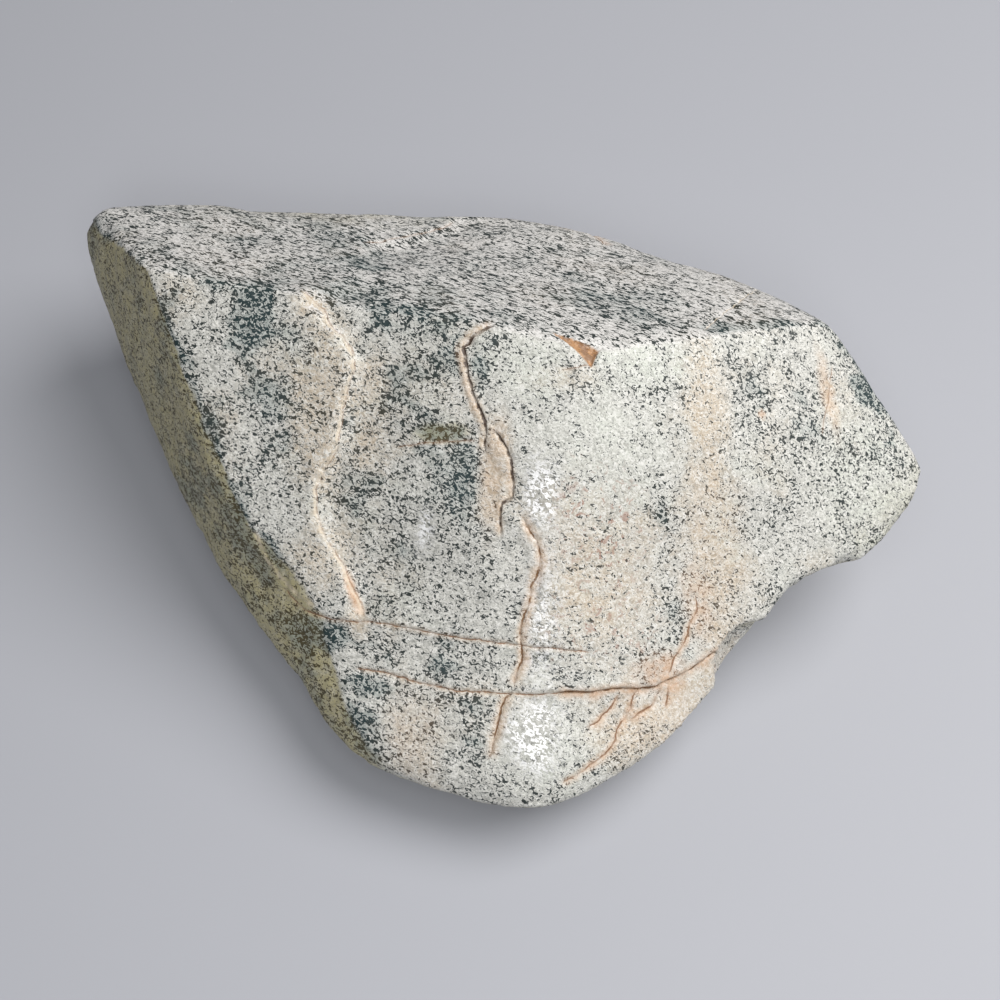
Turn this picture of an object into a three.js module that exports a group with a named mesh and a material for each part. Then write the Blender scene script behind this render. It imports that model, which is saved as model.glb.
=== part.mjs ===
// A rough jadeite stone, one natural piece, in millimetres with +Z up.
// It stands on a small flat patch at z = 0. The broad broken face slopes
// down towards -Y, the top face slopes down towards +Y, and the long
// axis of the stone lies along X.

import * as THREE from "three";
import { ConvexHull } from "three/addons/math/ConvexHull.js";
import { mergeVertices } from "three/addons/utils/BufferGeometryUtils.js";

// ---------------------------------------------------------------- sizes

const at = (x, y, z) => new THREE.Vector3(x, y, z);

// Corners of the broken block, in the order they go round each face.
const RIDGE_CORNERS = {
  ridgeLeft: at(-56, 24.5, 48.5),
  ridgeMiddle: at(-3, 9, 53.5),
  ridgePeak: at(18, 3.5, 55),
  ridgeRight: at(56, 17, 44.5),
};
const TOP_BACK_CORNERS = {
  topLeftEnd: at(-67, 48.5, 35.5),
  topBackLeft: at(-63, 50.5, 34),
  topBackInner: at(-40, 53.5, 30),
  topBackMiddle: at(-6, 52.8, 27),
  topBackCentre: at(14, 51.5, 27.5),
  topBackRight: at(34, 39.8, 32),
  topRightEnd: at(52.5, 24.5, 39),
};
const BROAD_FACE_CORNERS = {
  leftEdgeBulge: at(-38.5, -18, 26.5),
  leftEdgeFoot: at(-17.5, -47.5, 13.5),
  frontFootLeft: at(-9, -47.8, 12.5),
  noseLeft: at(2, -55.5, 12),
  noseRight: at(10, -55.5, 12.5),
  foldUpper: at(4, -8, 46.3),
  foldMiddle: at(6, -33, 30.5),
  lipFront: at(19.5, -51.6, 13),
  lipSide: at(27.6, -46.6, 14),
  lipEnd: at(39.3, -33.6, 18.8),
  rightFootInner: at(49.2, -20.7, 23.4),
  rightFoot: at(60, -18.5, 23),
  rightFootOuter: at(68.5, -13.5, 25),
  rightTip: at(72.5, -3, 29),
  rightTipTop: at(70.5, 0.8, 30.8),
  rightShoulder: at(63.8, 5.4, 35.8),
  rightShoulderTop: at(58.9, 12.2, 40.3),
};
const LEFT_WALL_CORNERS = {
  wallHeel: at(-70.5, 44.5, 33.5),
  wallHeelLow: at(-71.5, 42.5, 27),
  wallHeelFoot: at(-69, 37.5, 20.5),
  wallUpperFoot: at(-56.5, 6, 15.5),
  wallMiddleFoot: at(-45.3, -15.9, 13),
  wallLowerFoot: at(-34, -31.6, 11),
  wallFrontFoot: at(-22.5, -45.4, 9.5),
};
const UNDERCUT_CORNERS = {
  noseLow: at(4, -50.5, 5),
  noseLowRight: at(16, -49, 5.5),
  lipLow: at(32, -33.8, 8),
  rightLow: at(55, -13.5, 14),
  tipLow: at(67, -2.5, 18),
  heelLow: at(-64, 33.5, 11),
  wallLow: at(-48, 1.5, 7),
};
const BACK_CORNERS = {
  backLeft: at(-64, 47.5, 16),
  backInner: at(-40, 53.5, 11),
  backMiddle: at(-4, 54.5, 10),
  backCentre: at(15, 51.5, 9),
  backRight: at(38, 40.5, 11),
  backShoulder: at(56, 28.5, 15),
  backTip: at(69, 12.5, 19),
};
const BASE_CORNERS = {
  baseLeftBack: at(-26, 27.5, -1),
  baseLeft: at(-27, 1.5, -1),
  baseLeftFront: at(-12, -22.5, -1),
  baseFront: at(10, -28.5, -1),
  baseRightFront: at(27, -16.5, -1),
  baseRight: at(34, 3.5, -1),
  baseRightBack: at(24, 25.5, -1),
  baseBack: at(0, 33.5, -1),
};

// The point inside the stone that every surface point is cast from.
const HEART = at(2, -0.5, 24);

// Rounding of the worn edges at the ridge and at the foot, the heights
// of the two, and the roundings beyond which a face has no say.
const RIDGE_ROUNDING = 0.55;
const FOOT_ROUNDING = 1.0;
const RIDGE_HEIGHT = 46;
const FOOT_HEIGHT = 16;
const FARTHEST_BLEND = 6;

// Two faces of the block count as one when the cosine between them is
// more than the first, and make an edge when it is less than the second.
const SAME_FACE = 0.9995;
const EDGE_TURN = 0.93;

// Slow swells of the faces: height and length of each.
const SWELLS = [
  { height: 0.9, length: 27 },
  { height: 0.45, length: 11 },
];

// Ledges are lines on one side of the stone. A line on the
// upper side is drawn in plan, as x and y; one on the back is drawn as
// x and z. Ground on the left of a ledge's line, seen along it, lies
// lower by its drop, and comes back to level over its reach.
const LEDGES = {
  panelLeft: {
    side: "upper",
    line: [[-29, 17.5], [-25.5, 13.5], [-22, 9], [-20.5, 6.5], [-22, 2.5], [-23.5, -4],
      [-26.5, -7.5], [-27, -12.5], [-24.5, -17], [-21.5, -23], [-19.5, -28.5]],
    drop: 1.3,
    wall: 1.2,
    reach: 17,
  },
  panelRight: {
    side: "upper",
    line: [[5.5, -30.5], [7.5, -24.5], [7.5, -20.5], [3, -15.5], [3.5, -10.5], [0.5, -5.5],
      [-1.5, -1], [-3, 3.5], [-3, 6.5], [1, 9]],
    drop: 1.2,
    wall: 1.4,
    reach: 13,
  },
  footStep: {
    side: "upper",
    line: [[16, -33.5], [7, -33.5], [-3.5, -31.5], [-14.5, -29], [-24, -27], [-31, -23.5]],
    drop: 0.5,
    wall: 1.2,
    reach: 12,
  },
  lipStep: {
    side: "upper",
    line: [[39, -30], [35, -32.5], [29, -36], [22, -38], [12.5, -39], [3.5, -39]],
    drop: 0.9,
    wall: 1.2,
    reach: 8,
  },
  topStep: {
    side: "upper",
    line: [[-5, 51.5], [-6, 46], [-11, 42], [-16, 38], [-22, 37]],
    drop: 0.9,
    wall: 1.5,
    reach: 12,
  },
  backStep: {
    side: "back",
    line: [[-50, 24], [-36, 17], [-18, 15], [-2, 9], [14, 10], [32, 3]],
    drop: 1.8,
    wall: 2.5,
    reach: 14,
  },
  backCrest: {
    side: "back",
    line: [[26, 4], [23, 12], [26, 22]],
    drop: 1.2,
    wall: 2,
    reach: 12,
  },
};

// Pieces broken out of the stone, each a shallow bowl cut by a ball
// that stands mostly outside it.
const CHIPS = {
  footNotch: { centre: at(42.5, -31.2, 18), radius: 6.2 },
  footUnderside: { centre: at(59.8, -31.9, 13), radius: 18.5 },
  leftEdgeChip: { centre: at(-45, -26.5, 27), radius: 13.3 },
  leftEdgeBevel: { centre: at(-64, -59.5, 52.5), radius: 57.5 },
  ridgePit: { centre: at(14.8, 2.7, 56), radius: 2.6 },
  backUpperChip: { centre: at(-24, 65.5, 39), radius: 17 },
  backLowChip: { centre: at(26, 57.5, 3), radius: 18 },
  heelChip: { centre: at(-82, 51.5, 13), radius: 17 },
  tipUnderChip: { centre: at(76, 13.5, 7), radius: 19 },
  wallChip: { centre: at(-64, -22.5, 3), radius: 17 },
  wallNick: { centre: at(-48, -24.4, 13), radius: 9 },
};
const CHIP_BLEND = 0.35;

// A ledge fades out towards its ends over this length, and its low
// ground is level for this share of its reach.
const END_FADE = 4;
const LEVEL_SHARE = 0.25;

// The upper side's ledges fade in between these heights, and the back's
// between these places along Y and, above the floor, these heights.
const UPPER_START = [6, 8];
const BACK_START = [33.5, 43.5];
const BACK_FOOT = [1, 4];

// Triangle sides: on plain faces, at the block's edges, at the rims of
// chips and at ledges, and how far the finer ones reach.
const PLAIN_SIDE = 5.8;
const EDGE_SIDE = 3.4;
const CHIP_SIDE = 3.4;
const LEDGE_SIDE = 2;
const EDGE_FADE = 6.2;
const FINE_FADE = 5.6;
const FULLY_FINE = 1.2;

// Points closer to an edge or ledge than this share of a side go onto it.
const SNAP = 0.4;

// The surface is looked for this far inside and outside the flat faces,
// until it is known this closely.
const SEARCH_INSIDE = 10;
const SEARCH_OUTSIDE = 1.5;
const CLOSE_ENOUGH = 0.004;
const MOST_STEPS = 24;

// The ball of triangles that the mesh starts from, and how often long
// sides are split and points are evened out.
const START_DETAIL = 8;
const SPLIT_ROUNDS = 2;
const RELAX_ROUNDS = 2;
const MOST_POINTS = 1e5;

// ------------------------------------------------------------- helpers

const clamp = (value, low, high) => Math.min(Math.max(value, low), high);

function smoothStep(low, high, value) {
  const t = clamp((value - low) / (high - low), 0, 1);
  return t * t * (3 - 2 * t);
}

const mix = (a, b, t) => a + (b - a) * t;

// A repeatable number from 0 to 1 for each whole-number lattice point.
function latticeValue(i, j, k) {
  const s = Math.sin(i * 127.1 + j * 311.7 + k * 74.7) * 43758.5453;
  return s - Math.floor(s);
}

// Smooth noise from -1 to 1, with bumps about one unit apart.
function noise(x, y, z) {
  const [i, j, k] = [Math.floor(x), Math.floor(y), Math.floor(z)];
  const [u, v, w] = [x - i, y - j, z - k].map((t) => t * t * (3 - 2 * t));
  const row = (dj, dk) => mix(latticeValue(i, j + dj, k + dk), latticeValue(i + 1, j + dj, k + dk), u);
  const sheet = (dk) => mix(row(0, dk), row(1, dk), v);
  return mix(sheet(0), sheet(1), w) * 2 - 1;
}

// --------------------------------------------------------- block shape

// The flat faces of the block: each has an outward normal and its
// distance from the origin along it. The face that looks straight down
// is left out, because the resting patch is cut flat on its own.
function blockFaces() {
  const corners = Object.values({
    ...RIDGE_CORNERS,
    ...TOP_BACK_CORNERS,
    ...BROAD_FACE_CORNERS,
    ...LEFT_WALL_CORNERS,
    ...UNDERCUT_CORNERS,
    ...BACK_CORNERS,
    ...BASE_CORNERS,
  });
  const hull = new ConvexHull().setFromPoints(corners);
  const down = at(0, 0, -1);
  const faces = [];
  for (const { normal, constant } of hull.faces) {
    const known = faces.some((face) => face.normal.dot(normal) > SAME_FACE);
    if (!known && normal.dot(down) < SAME_FACE) {
      faces.push({ normal: normal.clone(), distance: constant });
    }
  }
  return faces;
}

const FACES = blockFaces();

// Below zero inside the block with rounded edges, above zero outside.
function block(p) {
  const rounding = mix(FOOT_ROUNDING, RIDGE_ROUNDING, smoothStep(FOOT_HEIGHT, RIDGE_HEIGHT, p.z));
  const depths = FACES.map(({ normal, distance }) => normal.dot(p) - distance);
  const top = Math.max(...depths);
  const near = depths.filter((depth) => depth > top - FARTHEST_BLEND * rounding);
  const sum = near.reduce((total, depth) => total + Math.exp((depth - top) / rounding), 0);
  return top + rounding * Math.log(sum);
}

// How far out the first flat face lies in one direction from the heart.
function blockReach(direction) {
  let reach = Infinity;
  for (const { normal, distance } of FACES) {
    const slope = normal.dot(direction);
    if (slope > 0) {
      reach = Math.min(reach, (distance - normal.dot(HEART)) / slope);
    }
  }
  return reach;
}

function swells(p) {
  let total = 0;
  for (const { height, length } of SWELLS) {
    total += height * noise(p.x / length, p.y / length, p.z / length);
  }
  return total;
}

// ------------------------------------------------- ledges and chips

// How much a point belongs to each side that lines are drawn on, and
// its two coordinates there.
const SIDES = {
  upper: {
    weight: (p) => smoothStep(...UPPER_START, p.z),
    drawn: (p) => [p.x, p.y],
    moved: (p, [dx, dy], by) => at(p.x + dx * by, p.y + dy * by, p.z),
  },
  back: {
    weight: (p) => smoothStep(...BACK_START, p.y) * smoothStep(...BACK_FOOT, p.z),
    drawn: (p) => [p.x, p.z],
    moved: (p, [dx, dz], by) => at(p.x + dx * by, p.y, p.z + dz * by),
  },
};

// Where a drawn point lies by a line: its distance, above zero on the
// line's left, the unit step across the line to the left, and how far
// along the line it is from the nearer end.
function offsetFrom(line, [x, y]) {
  let best = { distance: Infinity };
  let walked = 0;
  for (let i = 1; i < line.length; i += 1) {
    const [x0, y0] = line[i - 1];
    const [dx, dy] = [line[i][0] - x0, line[i][1] - y0];
    const length = Math.hypot(dx, dy);
    const t = clamp(((x - x0) * dx + (y - y0) * dy) / length ** 2, 0, 1);
    const distance = Math.hypot(x - x0 - t * dx, y - y0 - t * dy);
    if (distance < best.distance) {
      const across = [-dy / length, dx / length];
      const left = across[0] * (x - x0) + across[1] * (y - y0) > 0;
      best = { distance, signed: left ? distance : -distance, across, along: walked + t * length };
    }
    walked += length;
  }
  best.fromEnd = Math.min(best.along, walked - best.along);
  return best;
}

function ledgeDrop({ side, line, drop, wall, reach }, p) {
  const weight = SIDES[side].weight(p);
  if (weight === 0) {
    return 0;
  }
  const { signed, fromEnd } = offsetFrom(line, SIDES[side].drawn(p));
  const fall = smoothStep(-wall / 2, wall / 2, signed);
  const comeback = 1 - smoothStep(reach * LEVEL_SHARE, reach, signed);
  return drop * weight * fall * comeback * smoothStep(0, END_FADE, fromEnd);
}

function softMax(a, b, blend) {
  const top = Math.max(a, b);
  return top + blend * Math.log(Math.exp((a - top) / blend) + Math.exp((b - top) / blend));
}

// Below zero inside the finished stone.
function stone(p) {
  let depth = block(p) - swells(p);
  for (const ledge of Object.values(LEDGES)) {
    depth += ledgeDrop(ledge, p);
  }
  for (const { centre, radius } of Object.values(CHIPS)) {
    depth = softMax(depth, radius - p.distanceTo(centre), CHIP_BLEND);
  }
  return depth;
}

// ------------------------------------------- where detail is needed

// The way from a point to the nearest edge between two faces of the
// block that really turn from one another.
function wayToEdge(p) {
  const depths = FACES.map((face) => ({ face, depth: face.normal.dot(p) - face.distance }));
  depths.sort((a, b) => b.depth - a.depth);
  const [first] = depths;
  const second = depths.find(({ face }) => face.normal.dot(first.face.normal) < EDGE_TURN);
  const across = second.face.normal.clone().sub(first.face.normal);
  return across.multiplyScalar((first.depth - second.depth) / across.lengthSq());
}

// The longest triangle side that shows the form at a point.
function longestSide(p) {
  let side = mix(EDGE_SIDE, PLAIN_SIDE, smoothStep(FULLY_FINE, EDGE_FADE, wayToEdge(p).length()));
  for (const { side: where, line } of Object.values(LEDGES)) {
    if (SIDES[where].weight(p) > 0) {
      const { distance } = offsetFrom(line, SIDES[where].drawn(p));
      side = Math.min(side, mix(LEDGE_SIDE, PLAIN_SIDE, smoothStep(FULLY_FINE, FINE_FADE, distance)));
    }
  }
  for (const { centre, radius } of Object.values(CHIPS)) {
    const rim = Math.abs(p.distanceTo(centre) - radius);
    side = Math.min(side, mix(CHIP_SIDE, PLAIN_SIDE, smoothStep(FULLY_FINE, FINE_FADE, rim)));
  }
  return side;
}

// ---------------------------------------------------------------- mesh

// The surface point in one direction from the heart, found by false
// position. The resting patch is cut exactly flat at z = 0.
function surfacePoint(direction) {
  const p = new THREE.Vector3();
  const depthAt = (length) => stone(p.copy(direction).multiplyScalar(length).add(HEART));
  const reach = blockReach(direction);
  let near = { length: reach - SEARCH_INSIDE, depth: depthAt(reach - SEARCH_INSIDE) };
  let far = { length: reach + SEARCH_OUTSIDE, depth: depthAt(reach + SEARCH_OUTSIDE) };
  for (let i = 0; i < MOST_STEPS; i += 1) {
    const length = near.length + (far.length - near.length) * near.depth / (near.depth - far.depth);
    const depth = depthAt(length);
    if (Math.abs(depth) < CLOSE_ENOUGH) {
      break;
    }
    if (depth < 0) {
      near = { length, depth };
      far.depth /= 2;
    } else {
      far = { length, depth };
      near.depth /= 2;
    }
  }
  if (p.z < 0) {
    p.copy(direction).multiplyScalar(-HEART.z / direction.z).add(HEART);
    p.z = 0;
  }
  return p;
}

// A ball of triangles round the heart, each point cast to the surface.
function startMesh() {
  const ball = new THREE.IcosahedronGeometry(1, START_DETAIL);
  ball.deleteAttribute("normal");
  ball.deleteAttribute("uv");
  const { index, attributes } = mergeVertices(ball);
  const points = [];
  for (let i = 0; i < attributes.position.count; i += 1) {
    const direction = new THREE.Vector3().fromBufferAttribute(attributes.position, i);
    points.push(surfacePoint(direction.normalize()));
  }
  const triangles = [];
  for (let i = 0; i < index.count; i += 3) {
    triangles.push([index.getX(i), index.getX(i + 1), index.getX(i + 2)]);
  }
  return { points, triangles };
}

const towards = (p) => p.clone().sub(HEART).normalize();

// Splits every side that is longer than it should be.
function splitLongSides(mesh) {
  const { points } = mesh;
  const middles = new Map();
  const middleOf = (a, b) => {
    const key = Math.min(a, b) * MOST_POINTS + Math.max(a, b);
    if (!middles.has(key)) {
      const centre = points[a].clone().add(points[b]).multiplyScalar(0.5);
      const isLong = points[a].distanceTo(points[b]) > longestSide(centre);
      middles.set(key, isLong ? points.push(surfacePoint(towards(centre))) - 1 : null);
    }
    return middles.get(key);
  };
  mesh.triangles = mesh.triangles.flatMap(([a, b, c]) => (
    splitTriangle([a, b, c], [middleOf(a, b), middleOf(b, c), middleOf(c, a)])
  ));
}

// One triangle cut at the middles of those sides that have one.
function splitTriangle([a, b, c], [ab, bc, ca]) {
  const count = [ab, bc, ca].filter((m) => m !== null).length;
  if (count === 0) {
    return [[a, b, c]];
  }
  if (count === 3) {
    return [[a, ab, ca], [ab, b, bc], [ca, bc, c], [ab, bc, ca]];
  }
  if (count === 1 ? ab === null : ca !== null) {
    return splitTriangle([b, c, a], [bc, ca, ab]);
  }
  if (count === 1) {
    return [[a, ab, c], [ab, b, c]];
  }
  return [[ab, b, bc], [a, ab, bc], [a, bc, c]];
}

// Evens out the triangles: each point moves to the middle of its
// neighbours and back onto the surface.
function relax(mesh) {
  const sums = mesh.points.map(() => ({ sum: new THREE.Vector3(), count: 0 }));
  for (const [a, b, c] of mesh.triangles) {
    for (const [from, to] of [[a, b], [b, c], [c, a]]) {
      sums[from].sum.add(mesh.points[to]);
      sums[from].count += 1;
    }
  }
  mesh.points = sums.map(({ sum, count }) => surfacePoint(towards(sum.divideScalar(count))));
}

// Moves the points that lie next to an edge of the block onto it, so
// that the edge runs along triangle sides.
function straightenEdges(mesh) {
  mesh.points = mesh.points.map((p) => {
    const way = wayToEdge(p);
    const near = way.length() < EDGE_SIDE * SNAP && p.z > 0;
    return near ? surfacePoint(towards(way.add(p))) : p;
  });
}

// Does the same for the top and the foot of each ledge's wall.
function straightenLedges(mesh) {
  for (const { side, line, wall } of Object.values(LEDGES)) {
    const step = wall / 2;
    mesh.points = mesh.points.map((p) => {
      if (SIDES[side].weight(p) < 1) {
        return p;
      }
      const { signed, across, fromEnd } = offsetFrom(line, SIDES[side].drawn(p));
      const miss = (signed > 0 ? step : -step) - signed;
      const near = Math.abs(miss) < LEDGE_SIDE * SNAP && fromEnd > 0;
      return near ? surfacePoint(towards(SIDES[side].moved(p, across, miss))) : p;
    });
  }
}

function stoneGeometry() {
  const mesh = startMesh();
  for (let i = 0; i < SPLIT_ROUNDS; i += 1) {
    relax(mesh);
    splitLongSides(mesh);
  }
  for (let i = 0; i < RELAX_ROUNDS; i += 1) {
    relax(mesh);
  }
  straightenEdges(mesh);
  straightenLedges(mesh);
  const geometry = new THREE.BufferGeometry();
  const positions = new Float32Array(mesh.points.flatMap((p) => p.toArray()));
  geometry.setAttribute("position", new THREE.BufferAttribute(positions, 3));
  geometry.setIndex(mesh.triangles.flat());
  geometry.computeBoundingBox();
  const middle = geometry.boundingBox.getCenter(new THREE.Vector3());
  geometry.translate(-middle.x, -middle.y, 0);
  geometry.computeVertexNormals();
  return geometry;
}

// ---------------------------------------------------------------- part

const stoneMaterial = new THREE.MeshStandardMaterial({
  color: new THREE.Color(0.66, 0.65, 0.6),
  roughness: 0.5,
  metalness: 0,
});

const jadeiteStone = new THREE.Mesh(stoneGeometry(), stoneMaterial);
jadeiteStone.name = "jadeite_stone";

const part = new THREE.Group();
part.add(jadeiteStone);

export default part;
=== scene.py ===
# A rough jadeite stone, dressed over its solid: the worn and broken surface
# with its ledges, cracks, chips and pits, and the speckled stone itself.
# The stone's own measures are in millimetres, Blender's are in metres.

import math

import bmesh
import bpy
import numpy as np
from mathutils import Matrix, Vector, noise


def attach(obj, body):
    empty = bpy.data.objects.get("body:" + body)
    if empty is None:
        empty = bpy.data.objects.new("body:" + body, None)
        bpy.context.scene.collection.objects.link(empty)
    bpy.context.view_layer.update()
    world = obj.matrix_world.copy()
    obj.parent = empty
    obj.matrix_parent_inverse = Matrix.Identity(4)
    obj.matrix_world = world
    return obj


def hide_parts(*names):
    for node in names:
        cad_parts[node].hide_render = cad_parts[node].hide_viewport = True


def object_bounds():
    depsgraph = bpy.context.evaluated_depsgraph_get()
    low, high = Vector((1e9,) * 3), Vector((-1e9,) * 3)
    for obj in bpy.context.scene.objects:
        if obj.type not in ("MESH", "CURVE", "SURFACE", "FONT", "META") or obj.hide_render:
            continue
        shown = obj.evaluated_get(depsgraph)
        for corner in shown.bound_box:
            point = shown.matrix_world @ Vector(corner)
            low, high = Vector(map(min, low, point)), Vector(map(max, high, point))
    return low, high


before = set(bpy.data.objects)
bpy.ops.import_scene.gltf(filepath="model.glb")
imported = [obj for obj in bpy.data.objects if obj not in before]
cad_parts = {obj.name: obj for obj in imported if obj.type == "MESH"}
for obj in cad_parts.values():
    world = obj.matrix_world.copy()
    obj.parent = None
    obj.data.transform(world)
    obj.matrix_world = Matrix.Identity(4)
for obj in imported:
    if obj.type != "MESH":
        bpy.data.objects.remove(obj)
CAD_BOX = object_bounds()

bl_info = {
    "name": "Rough Jadeite Stone",
    "version": (1, 0, 0),
    "blender": (4, 5, 0),
    "location": "View3D > Sidebar > Jadeite",
    "description": "Builds the cracked, speckled surface of a rough jadeite stone and its stage",
    "category": "Object",
}

MM = 0.001
STONE_NODE = "jadeite_stone"


def tint(red, green, blue):
    """A colour as Blender holds it, from the 0 to 255 that a screen shows."""
    return tuple(((level / 255 + 0.055) / 1.055) ** 2.4 for level in (red, green, blue))


# ------------------------------------------------- cracks and patches

# The sides that cracks and patches are drawn on, each with the direction
# it faces and the two directions its drawn places are measured along.
SIDES = {
    "upper": {"faces": (0, 0, 1), "across": (1, 0, 0), "up": (0, 1, 0)},
    "back": {"faces": (0, 1, 0), "across": (1, 0, 0), "up": (0, 0, 1)},
    "right": {"faces": (1, 0, 0), "across": (0, 1, 0), "up": (0, 0, 1)},
}

# A side's drawings fade in between the first two cosines of the angle that
# the surface turns away from it. Where the surface is turned further than
# the third, cracks are stretched as if it were turned that far.
FACING_STARTS = (0.08, 0.3)
LEAST_FACING = 0.3

# The kinds of crack. Width is the core's, cover how much of the stone it
# hides, fade how much wider its right side fades out, and riser shade how
# far to the left a second, brown core lies, a line of painted shade at the
# riser of a step. Depth is how far the crack is
# sunk and spread how wide. Step is how far the ground close by on the
# left of the line is sunk, and the ground on the right raised. The halo
# is stained stone beside the line: its reach, how far its middle lies to
# the left of the line, and its stains.
PLAIN_CRACK = {
    "core": "brown", "width": 0.2, "cover": 1, "fade": 1, "riser_shade": None, "depth": 0, "spread": 0.3,
    "step": 0, "halo": 0.6, "aside": 0, "stains": {},
}
CRACK_KINDS = {
    # The cream vein's core is partly painted highlight: the lit edge of the step along the left ledge.
    "cream_vein": {"core": "vein", "width": 0.28, "cover": 0.7, "fade": 2, "riser_shade": 0.32,
                   "step": 0.1, "halo": 0.9, "aside": -0.2, "stains": {"cream": 0.7, "bare": 0.5}},
    "pale_rim": {"core": "vein", "width": 0.7, "cover": 0.55, "fade": 1.4, "halo": 0.9,
                 "stains": {"cream": 0.8, "bare": 0.6}},
    # The dark crack's core is partly painted shadow, for the shade in its groove at the foot of the
    # ledge wall.
    "dark_crack": {"core": "dark", "width": 0.36, "depth": 0.4, "spread": 0.22,
                   "halo": 0.9, "aside": -0.4, "stains": {"cream": 0.9, "bare": 0.8, "rust": 0.2}},
    "stained_crack": {"core": "umber", "width": 0.26, "depth": 0.25, "halo": 1.1,
                      "aside": 0.2, "stains": {"rust": 0.3, "cream": 0.9, "bare": 0.7}},
    "rust_crack": {"width": 0.24, "depth": 0.15, "halo": 0.8,
                   "stains": {"rust": 0.45, "cream": 0.5, "bare": 0.5}},
    "lip_crack": {"core": "umber", "width": 0.36, "depth": 0.5, "spread": 0.35, "step": -0.2,
                  "halo": 1.1, "stains": {"rust": 0.6, "cream": 0.6, "bare": 0.7}},
    "fine_crack": {"width": 0.22, "cover": 0.9, "depth": 0.15, "spread": 0.26, "step": -0.05,
                   "stains": {"rust": 0.14, "cream": 0.5, "bare": 0.4}},
    "hair_crack": {"width": 0.13, "cover": 0.7, "depth": 0.06, "spread": 0.22, "halo": 0.4,
                   "stains": {"rust": 0.15, "bare": 0.2}},
    "pale_hair": {"core": "vein", "width": 0.2, "cover": 0.7, "depth": 0.04, "spread": 0.25,
                  "halo": 0.3, "stains": {"cream": 0.2, "bare": 0.3}},
}
CRACK_KINDS = {name: PLAIN_CRACK | kind for name, kind in CRACK_KINDS.items()}

# How far a step is felt beside its line, how long a crack takes to fade
# out at its ends, and how far from its line it is last and fully felt.
STEP_REACH = 0.6
CRACK_END = 1.6
CRACK_REACH = (4, 2.5)

# The sideways wander of the cracks' lines, and its length.
WANDER = 0.16
WANDER_LENGTH = 2.6

# The ledge on the right of the middle panel stands lower than in the
# solid: its line there, with the low ground on the left of it, how much
# of its drop is filled up again, how wide its wall and its fill are, and
# how long the fill takes to fade out at the line's ends.
LOW_LEDGE = [(5.5, -30.5), (7.5, -24.5), (7.5, -20.5), (3, -15.5), (3.5, -10.5), (0.5, -5.5),
             (-1.5, -1), (-3, 3.5), (-3, 6.5), (1, 9)]
LEDGE_FILL = 1.0
LEDGE_WALL = 1.4
LEDGE_REACH = 13
LEDGE_END = 4

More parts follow.
